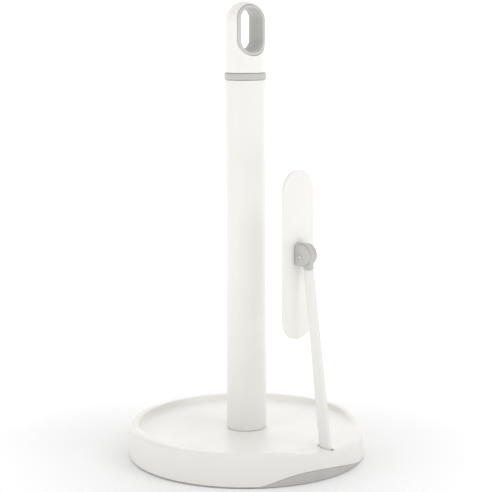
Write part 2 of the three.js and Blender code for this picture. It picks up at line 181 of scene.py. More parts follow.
def moulded(name, colour, shade, roughness, grain_mm, grain_depth_mm, ior):
    """A plastic whose colour wanders between two near tones, over a fine grain and slow sinks."""
    material, tree, shader = start_material(name)
    shader.inputs["IOR"].default_value = ior
    place = add(tree, "ShaderNodeTexCoord")
    grain = add(
        tree,
        "ShaderNodeTexNoise",
        values={"Scale": 1 / (grain_mm * MM), "Detail": 3.0, "Roughness": 0.55},
        links={"Vector": place.outputs["Object"]},
    )
    sink = add(
        tree,
        "ShaderNodeTexNoise",
        values={"Scale": 1 / SINK_LENGTH, "Detail": 1.0},
        links={"Vector": place.outputs["Object"]},
    )
    tone = add(
        tree,
        "ShaderNodeMix",
        settings={"data_type": "RGBA"},
        values={MIX_A: linear(colour), MIX_B: linear(shade)},
        links={"Factor": sink.outputs["Fac"]},
    )
    fine = bump(tree, grain, grain_depth_mm * MM, 0.5)
    wavy = bump(tree, sink, SINK_DEPTH, 0.5, under=fine)
    tree.links.new(tone.outputs[MIX_RESULT], shader.inputs["Base Color"])
    tree.links.new(wander(tree, sink, roughness, 0.05), shader.inputs["Roughness"])
    tree.links.new(wavy.outputs["Normal"], shader.inputs["Normal"])
    return material


# %% The plastics of this holder
# ABS from a fine polished mould: a warm white with a soft, satin highlight.
warm_white_abs = moulded("warm_white_abs_satin_moulded", "F4F3EF", "F2F0EB", 0.36, 0.5, 0.006, ior=1.53)
# Polypropylene from a spark-eroded mould: a light grey whose grain scatters the highlight.
light_grey_pp = moulded("light_grey_pp_spark_eroded", "C8C7C4", "C2C1BE", 0.5, 0.35, 0.02, ior=1.49)
# Thermoplastic rubber moulded over the loop: a pale grey, dry to the touch, with a broad highlight.
grey_tpe = moulded("grey_tpe_overmoulded", "CFCECB", "CAC9C6", 0.55, 0.4, 0.02, ior=1.5)
# Non-slip rubber under the base: dark enough to hide dirt, and nearly without a highlight.
foot_rubber = moulded("non_slip_rubber_matt", "8B8B88", "82827F", 0.8, 0.6, 0.04, ior=1.52)
print("plastics ready")

# %% [markdown]
# ## Metals
#
# The small metal pieces were turned or drawn, so their tool marks run round them. A noise texture
# that is stretched twelve times along X and Y draws such marks, as rings at the spacing of a fine
# feed, a few tenths of a millimetre. The iron ballast is rough cast, so its noise isn't stretched.

# %% The recipe for a metal surface
def metal(name, colour, roughness, mark_mm, mark_depth_mm, rough_cast=False):
    """A bare metal with turning marks round Z, or with the grain of a sand mould."""
    material, tree, shader = start_material(name)
    shader.inputs["Base Color"].default_value = linear(colour)
    shader.inputs["Metallic"].default_value = 1.0
    place = add(tree, "ShaderNodeTexCoord")
    stretch = (1.0, 1.0, 1.0) if rough_cast else (0.08, 0.08, 1.0)
    stretched = add(
        tree,
        "ShaderNodeMapping",
        values={"Scale": stretch},
        links={"Vector": place.outputs["Object"]},
    )
    marks = add(
        tree,
        "ShaderNodeTexNoise",
        values={"Scale": 1 / (mark_mm * MM), "Detail": 4.0},
        links={"Vector": stretched.outputs["Vector"]},
    )
    scored = bump(tree, marks, mark_depth_mm * MM, 0.6)
    tree.links.new(wander(tree, marks, roughness, 0.08), shader.inputs["Roughness"])
    tree.links.new(scored.outputs["Normal"], shader.inputs["Normal"])
    return material


# %% The metals of this holder
# Zinc-plated steel, turned or drawn: a cool, bright grey with fine rings.
zinc_steel = metal("zinc_plated_steel_turned", "C9CCCE", 0.3, 0.3, 0.004)
# Turned brass for the bush and the threaded insert: warm yellow, slightly duller.
turned_brass = metal("brass_turned", "CDA85C", 0.33, 0.3, 0.004)
# Grey cast iron for the ballast: dark, and pitted by the sand of its mould.
cast_iron = metal("grey_iron_sand_cast", "5A5A5C", 0.62, 1.5, 0.12, rough_cast=True)

finishes = {
    "white_plastic": warm_white_abs,
    "grey_plastic": light_grey_pp,
    "soft_grey": grey_tpe,
    "rubber": foot_rubber,
    "steel": zinc_steel,
    "brass": turned_brass,
    "cast_iron": cast_iron,
}
print(len(finishes), "finishes:", ", ".join(finishes))

# %% [markdown]
# ## The CAD nodes that stay
#
# The ballast, the rod, the bracket and the rest of the works are hidden inside the base and the
# post. Their CAD shapes are right as they are, so each one only gets the finish of its slot.

# %% Give every CAD node its finish
slot_of = {row["node"]: row["material_slot"] for row in record["subparts"]}
for node_name, node_object in frame["nodes"].items():
    node_object.data.materials.clear()
    node_object.data.materials.append(finishes[slot_of[node_name]])
print(len(slot_of), "CAD nodes finished")

# %% [markdown]
# ## Outlines with rounded corners
#
# No moulded edge is sharp: the mould's corners are radiused so that the plastic flows and the piece
# lets go. Every outline here is a list of corners with a radius each, and one function replaces
# each corner by an arc. The arc starts and ends on the two sides, at the distance that the corner's
# angle asks for.

# %% Turn corners into arcs
def rounded(corners, steps=5):
    """corners are (x, y, radius). Returns the closed outline's points."""
    points = []
    count = len(corners)
    for i, (x, y, radius) in enumerate(corners):
        here = Vector((x, y))
        before = (Vector(corners[i - 1][:2]) - here).normalized()
        after = (Vector(corners[(i + 1) % count][:2]) - here).normalized()
        half = before.angle(after) / 2
        if radius == 0 or half > math.radians(89):
            points.append(here)
            continue
        reach = radius / math.tan(half)
        centre = here + (before + after).normalized() * (radius / math.sin(half))
        first = here + before * reach - centre
        turn = math.copysign(math.pi - 2 * half, -before.cross(after))
        for step in range(steps + 1):
            angle = turn * step / steps
            spoke = Vector((
                first.x * math.cos(angle) - first.y * math.sin(angle),
                first.x * math.sin(angle) + first.y * math.cos(angle),
            ))
            points.append(centre + spoke)
    return points


def arc(x, y, radius, start, stop, steps):
    """Points on an arc, from start to stop degrees."""
    angles = [math.radians(start + (stop - start) * i / steps) for i in range(steps + 1)]
    return [Vector((x + radius * math.cos(a), y + radius * math.sin(a))) for a in angles]


# %% [markdown]
# ## Turned and flat pieces
#
# Two small builders make nearly every moulding. A turned piece is a closed section swept round the
# post's axis, with as many sides as its curve needs. A flat piece is an outline with thickness,
# whose rim a Bevel modifier rounds. Both end as plain meshes with smooth faces, sharp only where
# two faces really meet at an angle.

# %% Builders for turned and flat pieces
MERGE_DISTANCE = 0.002 * MM
SHARP_ANGLE = math.radians(32)
BEVEL_ANGLE = math.radians(40)


def mesh_piece(name, vertices, faces, material):
    """A new object at the origin, with its place in its mesh."""
    mesh = bpy.data.meshes.new(name)
    mesh.from_pydata([tuple(v) for v in vertices], [], faces)
    piece = bpy.data.objects.new(name, mesh)
    bpy.context.scene.collection.objects.link(piece)
    piece.data.materials.append(material)
    tidy(piece)
    return piece


def tidy(piece):
    """Merges doubles, points the faces outwards and smooths all but the real edges."""
    work = bmesh.new()
    work.from_mesh(piece.data)
    bmesh.ops.remove_doubles(work, verts=work.verts, dist=MERGE_DISTANCE)
    bmesh.ops.dissolve_degenerate(work, edges=work.edges, dist=MERGE_DISTANCE)
    loose = [edge for edge in work.edges if not edge.link_faces]
    bmesh.ops.delete(work, geom=loose, context="EDGES")
    bmesh.ops.recalc_face_normals(work, faces=work.faces)
    work.to_mesh(piece.data)
    work.free()
    piece.data.shade_smooth()
    piece.data.set_sharp_from_angle(angle=SHARP_ANGLE)


def bake(piece):
    """Turns a piece and its live modifiers into a plain mesh."""
    graph = bpy.context.evaluated_depsgraph_get()
    mesh = bpy.data.meshes.new_from_object(piece.evaluated_get(graph))
    piece.modifiers.clear()
    piece.data = mesh
    tidy(piece)
    return piece


def turned(name, section, material, sides):
    """Sweeps a closed section of radii and heights round the Z axis."""
    count = len(section)
    vertices = []
    faces = []
    for side in range(sides):
        angle = 2 * math.pi * side / sides
        vertices += [(r * math.cos(angle), r * math.sin(angle), z) for r, z in section]
        near = side * count
        far = (side + 1) % sides * count
        faces += [(near + i, far + i, far + (i + 1) % count, near + (i + 1) % count) for i in range(count)]
    return mesh_piece(name, vertices, faces, material)


def plate(name, outline, low, high, material, along="Y"):
    """Gives a flat outline thickness along one axis. It is drawn in the other two axes, in order."""
    def at(point, depth):
        places = {"X": (depth, *point), "Y": (point[0], depth, point[1]), "Z": (*point, depth)}
        return places[along]

    count = len(outline)
    vertices = [at(p, low) for p in outline] + [at(p, high) for p in outline]
    sides = [(i, (i + 1) % count, count + (i + 1) % count, count + i) for i in range(count)]
    caps = [tuple(range(count)), tuple(range(2 * count - 1, count - 1, -1))]
    return mesh_piece(name, vertices, sides + caps, material)


def soften(piece, width, segments):
    """Rounds every real edge of a piece."""
    bevel = piece.modifiers.new("rounded edges", "BEVEL")
    bevel.width = width
    bevel.segments = segments
    bevel.limit_method = "ANGLE"
    bevel.angle_limit = BEVEL_ANGLE
    return bake(piece)


def carve(piece, tool, operation="DIFFERENCE"):
    """Cuts a tool out of a piece, or joins it on, and throws the tool away."""
    boolean = piece.modifiers.new("carve", "BOOLEAN")
    boolean.operation = operation
    boolean.solver = "EXACT"
    boolean.object = tool
    bake(piece)
    bpy.data.objects.remove(tool)
    return piece


def belongs(piece, body, slot, *nodes):
    """Says what a finished piece rides on and which nodes it replaces. Its slot argument is not used."""
    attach(piece, body)
    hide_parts(*nodes)
    print(f"{piece.name}: {len(piece.data.polygons)} faces")


# %% [markdown]
# ## The rule of the dish
#
# The dish is a plain turned section on one side. On the side of the arm its lip sinks and the floor
# runs down over the edge, so that nothing stands in the arm's way, and the lower edge lifts in a
# long arch that shows the grey underbody. Both changes depend only on the direction round the
# post and on the radius, so a Geometry Nodes tree can make them on any turned mesh. Three vertex
# attributes say how a point takes part: whether it sinks with the lip, whether it lies on the inner
# side of the wall, and whether it follows the arch.

# %% Build the tree that sinks the lip and lifts the arch
SHELL_THICKNESS = 3 * MM
ARCH_ROUNDNESS = 1.25  # 1 gives a parabola, and more runs out softly at both ends
DISH_INPUTS = {
    "Lip Direction": math.radians(20),
    "Lip Half Span": math.radians(55),
    "Lip Blend": math.radians(30),
    "Slope Start": 74 * MM,
    "Slope End": 82 * MM,
    "Slope Drop": 1.7 * MM,
    "Edge Start": 88 * MM,
    "Edge Length": 5.4 * MM,
    "Edge Drop": 2.2 * MM,
    "Wall": SHELL_THICKNESS,
    "Arch Peak": math.radians(-16),
    "Arch Short Span": math.radians(25),
    "Arch Long Span": math.radians(40),
    "Arch Rise": 8.05 * MM,
}


def start_tree(name, inputs):
    """A geometry tree with a mesh in, a mesh out and one named float input for each size."""
    tree = bpy.data.node_groups.new(name, "GeometryNodeTree")
    tree.interface.new_socket("Geometry", in_out="INPUT", socket_type="NodeSocketGeometry")
    tree.interface.new_socket("Geometry", in_out="OUTPUT", socket_type="NodeSocketGeometry")
    tree.interface.new_socket("Material", in_out="INPUT", socket_type="NodeSocketMaterial")
    for label, value in inputs.items():
        socket = tree.interface.new_socket(label, in_out="INPUT", socket_type="NodeSocketFloat")
        socket.default_value = value
    source = add(tree, "NodeGroupInput")
    return tree, source


def end_tree(tree, source, geometry):
    """Ends a tree in real geometry with its material."""
    real = add(tree, "GeometryNodeRealizeInstances", links={"Geometry": geometry})
    painted = add(
        tree,
        "GeometryNodeSetMaterial",
        links={"Geometry": real.outputs[0], "Material": source.outputs["Material"]},
    )
    add(tree, "NodeGroupOutput", links={"Geometry": painted.outputs[0]})


def calculate(tree, operation, *terms):
    """A Math node. Each term is a number or another node's output. Returns its output."""
    made = add(tree, "ShaderNodeMath", settings={"operation": operation})
    for socket, term in zip(made.inputs, terms):
        if isinstance(term, (int, float)):
            socket.default_value = term
        else:
            tree.links.new(term, socket)
    return made.outputs[0]


def stored(tree, name):
    """Reads a vertex attribute."""
    return add(
        tree, "GeometryNodeInputNamedAttribute", settings={"data_type": "FLOAT"}, values={"Name": name}
    ).outputs["Attribute"]


def smooth_step(tree, value, low, high):
    """Eases from 0 to 1 as a value goes from low to high."""
    made = add(
        tree,
        "ShaderNodeMapRange",
        settings={"interpolation_type": "SMOOTHSTEP"},
        links={"Value": value},
    )
    for name, term in (("From Min", low), ("From Max", high)):
        if isinstance(term, (int, float)):
            made.inputs[name].default_value = term
        else:
            tree.links.new(term, made.inputs[name])
    return made.outputs["Result"]


def lowered_height(tree, sizes, radius):
    """Height of the sunk side at a radius: a shallow slope, then a roll over the outer edge."""
    slope = smooth_step(tree, radius, sizes["Slope Start"], sizes["Slope End"])
    past = calculate(tree, "SUBTRACT", radius, sizes["Edge Start"])
    rolled = calculate(tree, "MAXIMUM", calculate(tree, "DIVIDE", past, sizes["Edge Length"]), 0.0)
    drop = calculate(tree, "MULTIPLY", slope, sizes["Slope Drop"])
    edge = calculate(tree, "MULTIPLY", calculate(tree, "POWER", rolled, 2.0), sizes["Edge Drop"])
    wall = calculate(tree, "MULTIPLY", stored(tree, "inner_side"), sizes["Wall"])
    total = calculate(tree, "ADD", calculate(tree, "ADD", drop, edge), wall)
    return calculate(tree, "SUBTRACT", floor_z, total)


def sunk_height(tree, sizes, angle, radius, z):
    """A point's height, moved towards the sunk side's the nearer it is to the lip's direction."""
    aside = calculate(tree, "ABSOLUTE", calculate(tree, "SUBTRACT", angle, sizes["Lip Direction"]))
    inside = calculate(tree, "SUBTRACT", sizes["Lip Half Span"], aside)
    eased = smooth_step(tree, inside, 0.0, sizes["Lip Blend"])
    share = calculate(tree, "MULTIPLY", eased, stored(tree, "sinks"))
    fall = calculate(tree, "SUBTRACT", lowered_height(tree, sizes, radius), z)
    return calculate(tree, "ADD", z, calculate(tree, "MULTIPLY", fall, share))


def arch_lift(tree, sizes, angle):
    """How far the lower edge rises: a bow, short on one side of its peak and long on the other."""
    aside = calculate(tree, "SUBTRACT", angle, sizes["Arch Peak"])
    beyond = calculate(tree, "GREATER_THAN", aside, 0.0)
    longer = calculate(tree, "SUBTRACT", sizes["Arch Long Span"], sizes["Arch Short Span"])
    span = calculate(tree, "MULTIPLY_ADD", beyond, longer, sizes["Arch Short Span"])
    reach = calculate(tree, "ABSOLUTE", calculate(tree, "DIVIDE", aside, span))
    share = calculate(tree, "MINIMUM", reach, 1.0)
    left = calculate(tree, "SUBTRACT", 1.0, calculate(tree, "POWER", share, 2.0))
    bow = calculate(tree, "POWER", calculate(tree, "MAXIMUM", left, 0.0), ARCH_ROUNDNESS)
    rise = calculate(tree, "MULTIPLY", bow, sizes["Arch Rise"])
    return calculate(tree, "MULTIPLY", rise, stored(tree, "arches"))


def dish_rule():
    """The whole tree: a point keeps its place in plan, and only its height changes."""
    tree, source = start_tree("dish rule", DISH_INPUTS)
    sizes = source.outputs
    position = add(tree, "GeometryNodeInputPosition")
    axes = add(tree, "ShaderNodeSeparateXYZ", links={"Vector": position.outputs[0]})
    x, y, z = axes.outputs
    angle = calculate(tree, "ARCTAN2", y, x)
    squares = calculate(tree, "ADD", calculate(tree, "MULTIPLY", x, x), calculate(tree, "MULTIPLY", y, y))
    radius = calculate(tree, "SQRT", squares)
    sunk = sunk_height(tree, sizes, angle, radius, z)
    height = calculate(tree, "ADD", sunk, arch_lift(tree, sizes, angle))
    moved = add(tree, "ShaderNodeCombineXYZ", links={"X": x, "Y": y, "Z": height})
    shaped = add(
        tree,
        "GeometryNodeSetPosition",
        links={"Geometry": sizes["Geometry"], "Position": moved.outputs[0]},
    )
    end_tree(tree, source, shaped.outputs[0])
    return tree


def set_input(modifier, label, value):
    """Sets a Geometry Nodes input by its socket's identifier."""
    for item in modifier.node_group.interface.items_tree:
        if item.name == label and item.in_out == "INPUT":
            modifier[item.identifier] = value


def grow(piece, tree, material, **inputs):
    """Runs a tree on a piece and bakes what it makes."""
    modifier = piece.modifiers.new(tree.name, "NODES")
    modifier.node_group = tree
    set_input(modifier, "Material", material)
    for label, value in inputs.items():
        set_input(modifier, label.replace("_", " "), value)
    return bake(piece)


the_dish_rule = dish_rule()
print(len(the_dish_rule.nodes), "nodes in the dish rule")

# %% [markdown]
# ## The dish
#
# The section starts on the axis below the floor, runs out under the rim, down inside the wall, up
# its outer face and back over the rim and the floor. Long straight stretches get extra points, so
# that the slope has something to bend. The arm comes out through a slot in the sunk side.

# %% Turn the dish and apply its rule
def divided(points, longest):
    """Adds points so that no side but the one on the axis is longer than a length."""
    dense = []
    for here, there in zip(points, points[1:] + points[:1]):
        if here.x == there.x == 0:
            dense.append(here)
            continue
        parts = max(1, math.ceil((there - here).length / longest))
        dense += [here.lerp(there, i / parts) for i in range(parts)]
    return dense


def mark(piece, name, test):
    """Stores 1 on the vertices that pass a test on radius and height, and 0 on the rest."""
    attribute = piece.data.attributes.new(name, "FLOAT", "POINT")
    for vertex in piece.data.vertices:
        radius = math.hypot(vertex.co.x, vertex.co.y)
        attribute.data[vertex.index].value = float(test(radius, vertex.co.z))


WALL_THICKNESS = 2.8 * MM
UNDER_RIM_Z = 23.4 * MM
TOP_BEND = (84.6 * MM, 86.6 * MM)  # radii where the top climbs from the floor to the rim
UNDER_BEND = (82.5 * MM, 86.2 * MM)  # and where the underside does
shell_rim = shell_high.z
inner_wall = base_radius - WALL_THICKNESS


def dish_section():
    """From the axis below the floor, out under the rim, down inside the wall and back over the top."""
    inner_floor = floor_z - SHELL_THICKNESS
    foot = shell_low.z
    under = [
        (0, inner_floor, 0),
        (UNDER_BEND[0], inner_floor, 2 * MM),
        (UNDER_BEND[1], UNDER_RIM_Z, 1.5 * MM),
        (inner_wall, UNDER_RIM_Z, 2 * MM),
    ]
    wall = [
        (inner_wall, foot, 0.3 * MM),
        (base_radius, foot, 0.5 * MM),
        (base_radius - 0.5 * MM, shell_rim, 3.2 * MM),
    ]
    dish = [
        (TOP_BEND[1], shell_rim, 1.1 * MM),
        (TOP_BEND[0], floor_z, 2.2 * MM),
        (0, floor_z, 0),
    ]
    outline = rounded(under + wall + dish, steps=7)
    return divided(outline, 2.5 * MM)


def on_foot(radius, z):
    """The lower edge of the wall, which follows the arch."""
    return z < 2 * MM


def is_inner(radius, z):
    """Below the middle of the shell: under the floor and the rim, and inside the wall."""
    start = (TOP_BEND[0] + UNDER_BEND[0]) / 2
    stop = (TOP_BEND[1] + UNDER_BEND[1]) / 2
    climb = min(1.0, max(0.0, (radius - start) / (stop - start)))
    low_middle = floor_z - SHELL_THICKNESS / 2
    high_middle = (shell_rim + UNDER_RIM_Z) / 2
    middle = low_middle + (high_middle - low_middle) * climb
    return radius < base_radius - WALL_THICKNESS / 2 and z < middle


def without_wall_points(section):
    """Keeps only the two ends of the upright wall, so that it stays straight between arch and lip."""
    on_wall = inner_wall - 0.2 * MM
    return [p for p in section if p.x < on_wall or not 1.9 * MM < p.y < 20 * MM]


BASE_SIDES = 288
dish = turned("dish_shell", without_wall_points(dish_section()), warm_white_abs, BASE_SIDES)
mark(dish, "sinks", lambda radius, z: not on_foot(radius, z))
mark(dish, "inner_side", is_inner)
mark(dish, "arches", on_foot)
grow(dish, the_dish_rule, warm_white_abs)

SLOT_ENDS = (75.8 * MM, 90.4 * MM)
SLOT_HALF_WIDTH = 2.3 * MM
SLOT_CORNER = 1.2 * MM
slot_outline = rounded([
    (SLOT_ENDS[0], -SLOT_HALF_WIDTH, SLOT_CORNER),
    (SLOT_ENDS[1], -SLOT_HALF_WIDTH, SLOT_CORNER),
    (SLOT_ENDS[1], SLOT_HALF_WIDTH, SLOT_CORNER),
    (SLOT_ENDS[0], SLOT_HALF_WIDTH, SLOT_CORNER),
])
carve(dish, plate("slot_tool", slot_outline, 8 * MM, 30 * MM, warm_white_abs, along="Z"))
belongs(dish, "stand", "white_plastic", "base_shell")

# %% [markdown]
# ## The underbody
#
# A grey tray closes the dish from below. Its skirt rises into the arch, so it uses the same tree
# with only the arch switched on, and the grey edge follows the white one all the way. A groove for
# the foot ring runs round its underside.

# %% Turn the tray
GAP = 0.3 * MM  # the clearance that the CAD keeps between two pieces
FOOT_RING_WIDTH = 7 * MM
TRAY_TOP_Z = 3 * MM
TRAY_RIM_Z = 3.6 * MM
TRAY_STEP = (79.4 * MM, 80 * MM)  # radii where its inside climbs to the rim
SKIRT_THICKNESS = 2.7 * MM
SKIRT_TOP_Z = 1 * MM  # before the arch lifts it


def tray_section():
    """Along the underside with its groove, up the skirt, and back over the inside."""
    groove_in = foot_high.x - FOOT_RING_WIDTH - GAP
    groove_out = foot_high.x + GAP
    groove_top = 2 * MM
    skirt_in = tray_high.x - SKIRT_THICKNESS
    corners = [
        (0, tray_low.z, 0),
        (groove_in, tray_low.z, 0.2 * MM),
        (groove_in, groove_top, 0),
        (groove_out, groove_top, 0),
        (groove_out, tray_low.z, 0.2 * MM),
        (tray_high.x, tray_low.z, 0.35 * MM),
        (tray_high.x, SKIRT_TOP_Z, 0),
        (skirt_in, SKIRT_TOP_Z, 0),
        (skirt_in, TRAY_RIM_Z, 0),
        (TRAY_STEP[1], TRAY_RIM_Z, 0),
        (TRAY_STEP[0], TRAY_TOP_Z, 0),
        (0, TRAY_TOP_Z, 0),
    ]
    return rounded(corners, steps=4)


def on_skirt_top(radius, z):
    """The top of the skirt, which rises into the arch."""
    return radius > tray_high.x - SKIRT_THICKNESS - GAP and abs(z - SKIRT_TOP_Z) < 0.01 * MM


def nowhere(radius, z):
    """For the attributes that a piece takes no part in."""
    return False


tray = turned("underbody_tray", tray_section(), light_grey_pp, BASE_SIDES)
mark(tray, "sinks", nowhere)
mark(tray, "inner_side", nowhere)
mark(tray, "arches", on_skirt_top)
grow(tray, the_dish_rule, light_grey_pp)
belongs(tray, "stand", "grey_plastic", "base_tray")

# %% [markdown]
# ## The foot ring
#
# The ring sits in the tray's groove and carries short ribs that grip the worktop. One rib is
# modelled, and a Geometry Nodes tree stands copies of it on a circle: its inputs are the circle's
# radius, the number of copies and the direction of the first one, so it can repeat other pieces too.

# %% Repeat one grip rib round the foot ring
RIB_COUNT = 72
RIB_HALF_LENGTH = 2.6 * MM
RIB_HALF_WIDTH = 0.9 * MM
RIB_HEIGHT = 1 * MM
FOOT_BODY_Z = 0.5 * MM  # the ring's own underside, above the ends of its ribs


def round_the_post():
    """Stands copies of a mesh on a circle, turned to face outwards, and joins them to its own mesh."""
    tree, source = start_tree("round the post", {"Radius": 0.085, "Count": 24.0, "First": 0.0})
    tree.interface.new_socket("Copy", in_out="INPUT", socket_type="NodeSocketObject")
    sizes = source.outputs
    one = add(tree, "GeometryNodeObjectInfo", links={"Object": sizes["Copy"]})
    circle = add(
        tree,
        "GeometryNodeMeshCircle",
        links={"Vertices": sizes["Count"], "Radius": sizes["Radius"]},
    )
    position = add(tree, "GeometryNodeInputPosition")
    axes = add(tree, "ShaderNodeSeparateXYZ", links={"Vector": position.outputs[0]})
    facing = calculate(tree, "ARCTAN2", axes.outputs["Y"], axes.outputs["X"])
    outwards = add(tree, "ShaderNodeCombineXYZ", links={"Z": facing})
    copies = add(
        tree,
        "GeometryNodeInstanceOnPoints",
        links={
            "Points": circle.outputs["Mesh"],
            "Instance": one.outputs["Geometry"],
            "Rotation": outwards.outputs[0],
        },
    )
    first = add(tree, "ShaderNodeCombineXYZ", links={"Z": sizes["First"]})
    started = add(
        tree,
        "GeometryNodeTransform",
        links={"Geometry": copies.outputs[0], "Rotation": first.outputs[0]},
    )
    both = add(tree, "GeometryNodeJoinGeometry")
    tree.links.new(sizes["Geometry"], both.inputs[0])
    tree.links.new(started.outputs[0], both.inputs[0])
    end_tree(tree, source, both.outputs[0])
    return tree


repeat_round = round_the_post()
ring_in = foot_high.x - FOOT_RING_WIDTH
ring_section = rounded(
    [
        (ring_in, FOOT_BODY_Z, 0.3 * MM),
        (foot_high.x, FOOT_BODY_Z, 0.3 * MM),
        (foot_high.x, foot_high.z, 0.2 * MM),
        (ring_in, foot_high.z, 0.2 * MM),
    ],
    steps=3,
)
foot = turned("foot_grip_ring", ring_section, foot_rubber, sides=144)
rib_outline = rounded(
    [
        (-RIB_HALF_LENGTH, 0, 0.2 * MM),
        (RIB_HALF_LENGTH, 0, 0.2 * MM),
        (RIB_HALF_LENGTH, RIB_HEIGHT, 0),
        (-RIB_HALF_LENGTH, RIB_HEIGHT, 0),
    ],
    steps=3,
)
rib = plate("grip_rib", rib_outline, -RIB_HALF_WIDTH, RIB_HALF_WIDTH, foot_rubber)
ring_middle = foot_high.x - FOOT_RING_WIDTH / 2
grow(foot, repeat_round, foot_rubber, Copy=rib, Radius=ring_middle, Count=float(RIB_COUNT))
bpy.data.objects.remove(rib)
belongs(foot, "stand", "rubber", "foot_ring")

# %% [markdown]
# ## Cover screws
#
# Four pan-head screws hold the tray. Each head has a cross recess, which is two crossed bars cut
# into a domed disc. One screw is made, and the same tree stands copies of it on the screw circle.

# %% Make one screw and repeat it
SCREW_COUNT = 4
SCREW_HEAD = 3.2 * MM
SCREW_SHANK = 1.3 * MM
SCREW_BOTTOM_Z = 0.6 * MM
SCREW_SEAT_Z = 1.5 * MM  # where the head meets the tray
SCREW_TAPER_Z = 13 * MM  # where the shank begins to narrow to its tip
RECESS_BARS_MM = ((1.9, 0.35), (0.35, 1.9))  # half sizes along X and Y
RECESS_LOW_MM = 0.2
RECESS_TOP_MM = 1.15

screw_low, screw_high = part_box("cover_screw_1")
screw_x = (screw_low.x + screw_high.x) / 2
screw_y = (screw_low.y + screw_high.y) / 2
screw_section = rounded(
    [
        (0, SCREW_BOTTOM_Z, 0),
        (SCREW_HEAD, SCREW_BOTTOM_Z, 0.5 * MM),
        (SCREW_HEAD, SCREW_SEAT_Z, 0.1 * MM),
        (SCREW_SHANK, SCREW_SEAT_Z, 0),
        (SCREW_SHANK, SCREW_TAPER_Z, 0),
        (0, screw_high.z, 0),
    ],
    steps=4,
)
screw = turned("one_screw", screw_section, zinc_steel, sides=32)
for half_x, half_y in RECESS_BARS_MM:
    low_side = [(-half_x, RECESS_LOW_MM), (half_x, RECESS_LOW_MM)]
    top_side = [(half_x, RECESS_TOP_MM), (-half_x, RECESS_TOP_MM)]
    bar = [Vector(corner) * MM for corner in low_side + top_side]
    carve(screw, plate("recess", bar, -half_y * MM, half_y * MM, zinc_steel))
screws = mesh_piece("cover_screws", [], [], zinc_steel)
grow(
    screws,
    repeat_round,
    zinc_steel,
    Copy=screw,
    Radius=math.hypot(screw_x, screw_y),
    Count=float(SCREW_COUNT),
    First=math.atan2(screw_y, screw_x),
)
bpy.data.objects.remove(screw)
belongs(screws, "stand", "steel", *[f"cover_screw_{i + 1}" for i in range(SCREW_COUNT)])

# %% [markdown]
# ## The post and its collar
#
# The post is an extruded tube, and the grey collar is a moulded ring that caps it. Their edges are
# broken by a few tenths of a millimetre, which draws the thin dark lines where they meet.

# %% Turn the post and the collar
POST_WALL = 2.5 * MM
ROD_HOLE = 3.3 * MM  # the collar's hole for the tie rod
post_bore = post_radius - POST_WALL
post_section = rounded(
    [
        (post_bore, post_low.z, 0.3 * MM),
        (post_radius, post_low.z, 0.3 * MM),
        (post_radius, post_high.z, 0.4 * MM),
        (post_bore, post_high.z, 0.3 * MM),
    ],
    steps=3,
)
post = turned("post_tube_moulded", post_section, warm_white_abs, sides=144)
belongs(post, "stand", "white_plastic", "post_tube")

collar_section = rounded(
    [
        (ROD_HOLE, collar_low.z, 0),
        (collar_high.x, collar_low.z, 0.45 * MM),
        (collar_high.x, collar_high.z, 0.6 * MM),
        (ROD_HOLE, collar_high.z, 0),
    ],
    steps=4,
)
collar = turned("collar_band", collar_section, light_grey_pp, sides=144)
belongs(collar, "stand", "grey_plastic", "collar_ring")

# %% [markdown]
# ## The loop handle
#
# The handle is a solid bar with a half-round top, and a long hole runs through it so that it can
# be lifted with one finger. The hole is a stadium: two half circles joined by straight sides. It is
# drawn facing along Y, and then turned until it runs at 21 degrees to the arm's plane.

# %% Turn the handle and cut its hole
LOOP_ANGLE = 21
FOOT_ROUNDING = 0.4 * MM  # of the handle's lower edge
loop_turn = Matrix.Rotation(math.radians(90 - LOOP_ANGLE), 4, "Z")
handle_radius = handle_high.x
dome_z = handle_high.z - handle_radius
HOLE_HALF_WIDTH = 11.9 * MM
HOLE_LOW_Z = 318.2 * MM
HOLE_HIGH_Z = 357.6 * MM


def stadium(half_width, low, high, steps):
    """Two half circles joined by straight sides."""
    top_arc = arc(0, high - half_width, half_width, 0, 180, steps)
    low_arc = arc(0, low + half_width, half_width, 180, 360, steps)
    return top_arc + low_arc


handle_section = [Vector((0, handle_low.z))]
handle_section += arc(
    handle_radius - FOOT_ROUNDING, handle_low.z + FOOT_ROUNDING, FOOT_ROUNDING, -90, 0, 4
)
handle_section += arc(0, dome_z, handle_radius, 0, 90, 40)
handle = turned("loop_handle", divided(handle_section, 4 * MM), warm_white_abs, sides=160)
hole_outline = stadium(HOLE_HALF_WIDTH, HOLE_LOW_Z, HOLE_HIGH_Z, steps=24)
hole_tool = plate("hole_tool", hole_outline, -30 * MM, 30 * MM, warm_white_abs)
hole_tool.data.transform(loop_turn)
carve(handle, hole_tool)
belongs(handle, "stand", "white_plastic", "handle_loop")

# %% [markdown]
# ## The liner
#
# The grey liner is moulded over the edge of the hole, so it is built as a closed band: at each step
# round the stadium a section with two half-round ends runs from the front of the handle to the
# back, as deep as the handle is there, and stands a little proud of it.

# %% Wrap the liner round the hole
LINER_RIM = 1.2 * MM  # radius of the band's rounded edges
LINER_PROUD = 0.35 * MM
LINER_LAP = 0.25 * MM  # how far the band starts inside the cut hole
RIM_STEPS = 12


def depth_of_handle(across, z, radius):
    """Half the handle's depth at a place across its width and at a height."""
    cap = max(0.0, z - dome_z)
    return math.sqrt(max(0.0, radius**2 - across**2 - cap**2))


